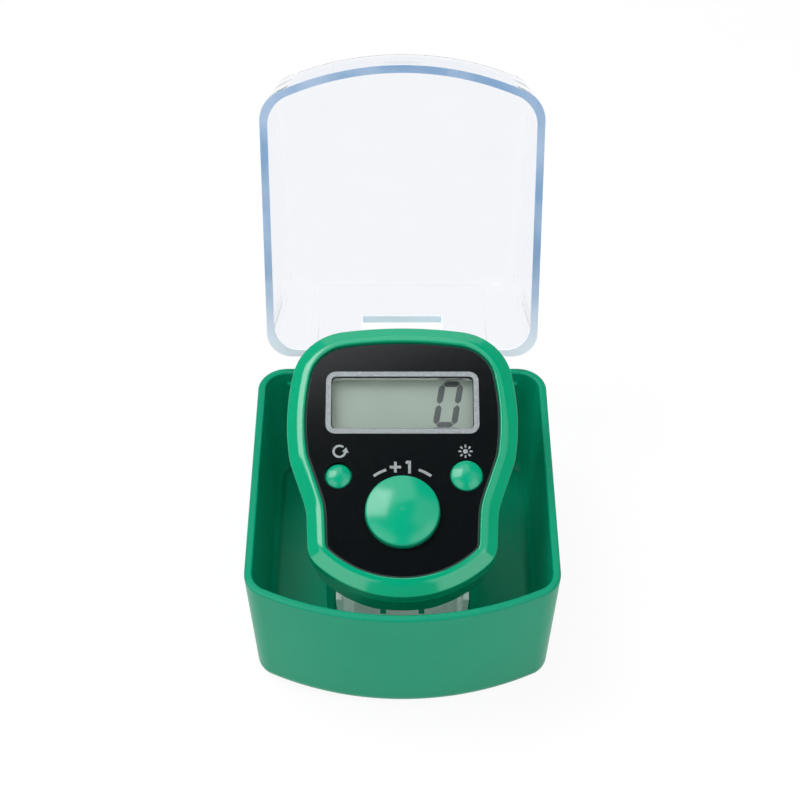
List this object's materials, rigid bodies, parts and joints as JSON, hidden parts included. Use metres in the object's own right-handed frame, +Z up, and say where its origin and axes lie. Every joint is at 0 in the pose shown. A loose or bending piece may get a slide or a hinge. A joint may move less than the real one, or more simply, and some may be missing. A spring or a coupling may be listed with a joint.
{
  "type": "digital tasbih counter",
  "caption": "Finger-worn digital prayer counter with display and push buttons, lying tilted on its strap loop in a hinged display case with a clear lid.",
  "frame": {"origin": "middle of the tray's flat underside", "axes": "+X to the right seen from the front, +Y from the bowed front to the hinge, +Z up"},
  "size_m": [0.0422, 0.0698, 0.0642],
  "materials": {
    "tray_green": "satin moulded plastic",
    "clear_lid": "clear moulded plastic, bluish at its edges",
    "shell_green": "satin moulded plastic",
    "gloss_black": "glossy plate with silver printed marks",
    "clear_window": "polished clear plastic",
    "display_grey": "grey-green display cell",
    "rubber_grey": "layered contact rubber",
    "board_green": "circuit board",
    "resin_black": "moulded resin",
    "lamp_white": "small lamp",
    "button_green": "satin moulded plastic",
    "cell_steel": "button cell",
    "spring_steel": "plated spring strip",
    "screw_steel": "plated screw",
    "strap_clear": "translucent soft plastic"
  },
  "bodies": {
    "case": {"case_tray": "tray_green"},
    "lid": {"case_lid": "clear_lid"},
    "counter": {"upper_case": "shell_green", "lower_case": "shell_green", "face_plate": "gloss_black", "lcd_window": "clear_window", "lcd_glass": "display_grey", "light_guide": "clear_window", "contact_strips": "rubber_grey", "circuit_board": "board_green", "chip_cover": "resin_black", "led_lamp": "lamp_white", "count_switch": "resin_black", "reset_switch": "resin_black", "led_switch": "resin_black", "battery_cells": "cell_steel", "battery_contacts": "spring_steel", "cell_bridge": "spring_steel", "battery_door": "shell_green", "door_screw": "screw_steel", "case_screws": "screw_steel", "board_screws": "screw_steel", "finger_strap": "strap_clear"},
    "count_button": {"count_button": "button_green"},
    "reset_button": {"reset_button": "button_green"},
    "led_button": {"led_button": "button_green"}
  },
  "joints": [
    {"name": "lid_hinge", "type": "hinge", "parent": "case", "child": "lid", "pos_m": [0, 0.02379, 0.02068], "axis": [-1, 0, 0], "range_deg": [-110, 0]},
    {"name": "counter_lift", "type": "slide", "parent": "case", "child": "counter", "axis": [0, 0, 1], "range_m": [0, 0.05]},
    {"name": "count_press", "type": "slide", "parent": "counter", "child": "count_button", "axis": [0, 0.3584, -0.9336], "range_m": [0, 0.0007], "stiffness_N_per_m": 1500},
    {"name": "reset_press", "type": "slide", "parent": "counter", "child": "reset_button", "axis": [0, 0.3584, -0.9336], "range_m": [0, 0.0005], "stiffness_N_per_m": 1500},
    {"name": "led_press", "type": "slide", "parent": "counter", "child": "led_button", "axis": [0, 0.3584, -0.9336], "range_m": [0, 0.0005], "stiffness_N_per_m": 1500}
  ]
}
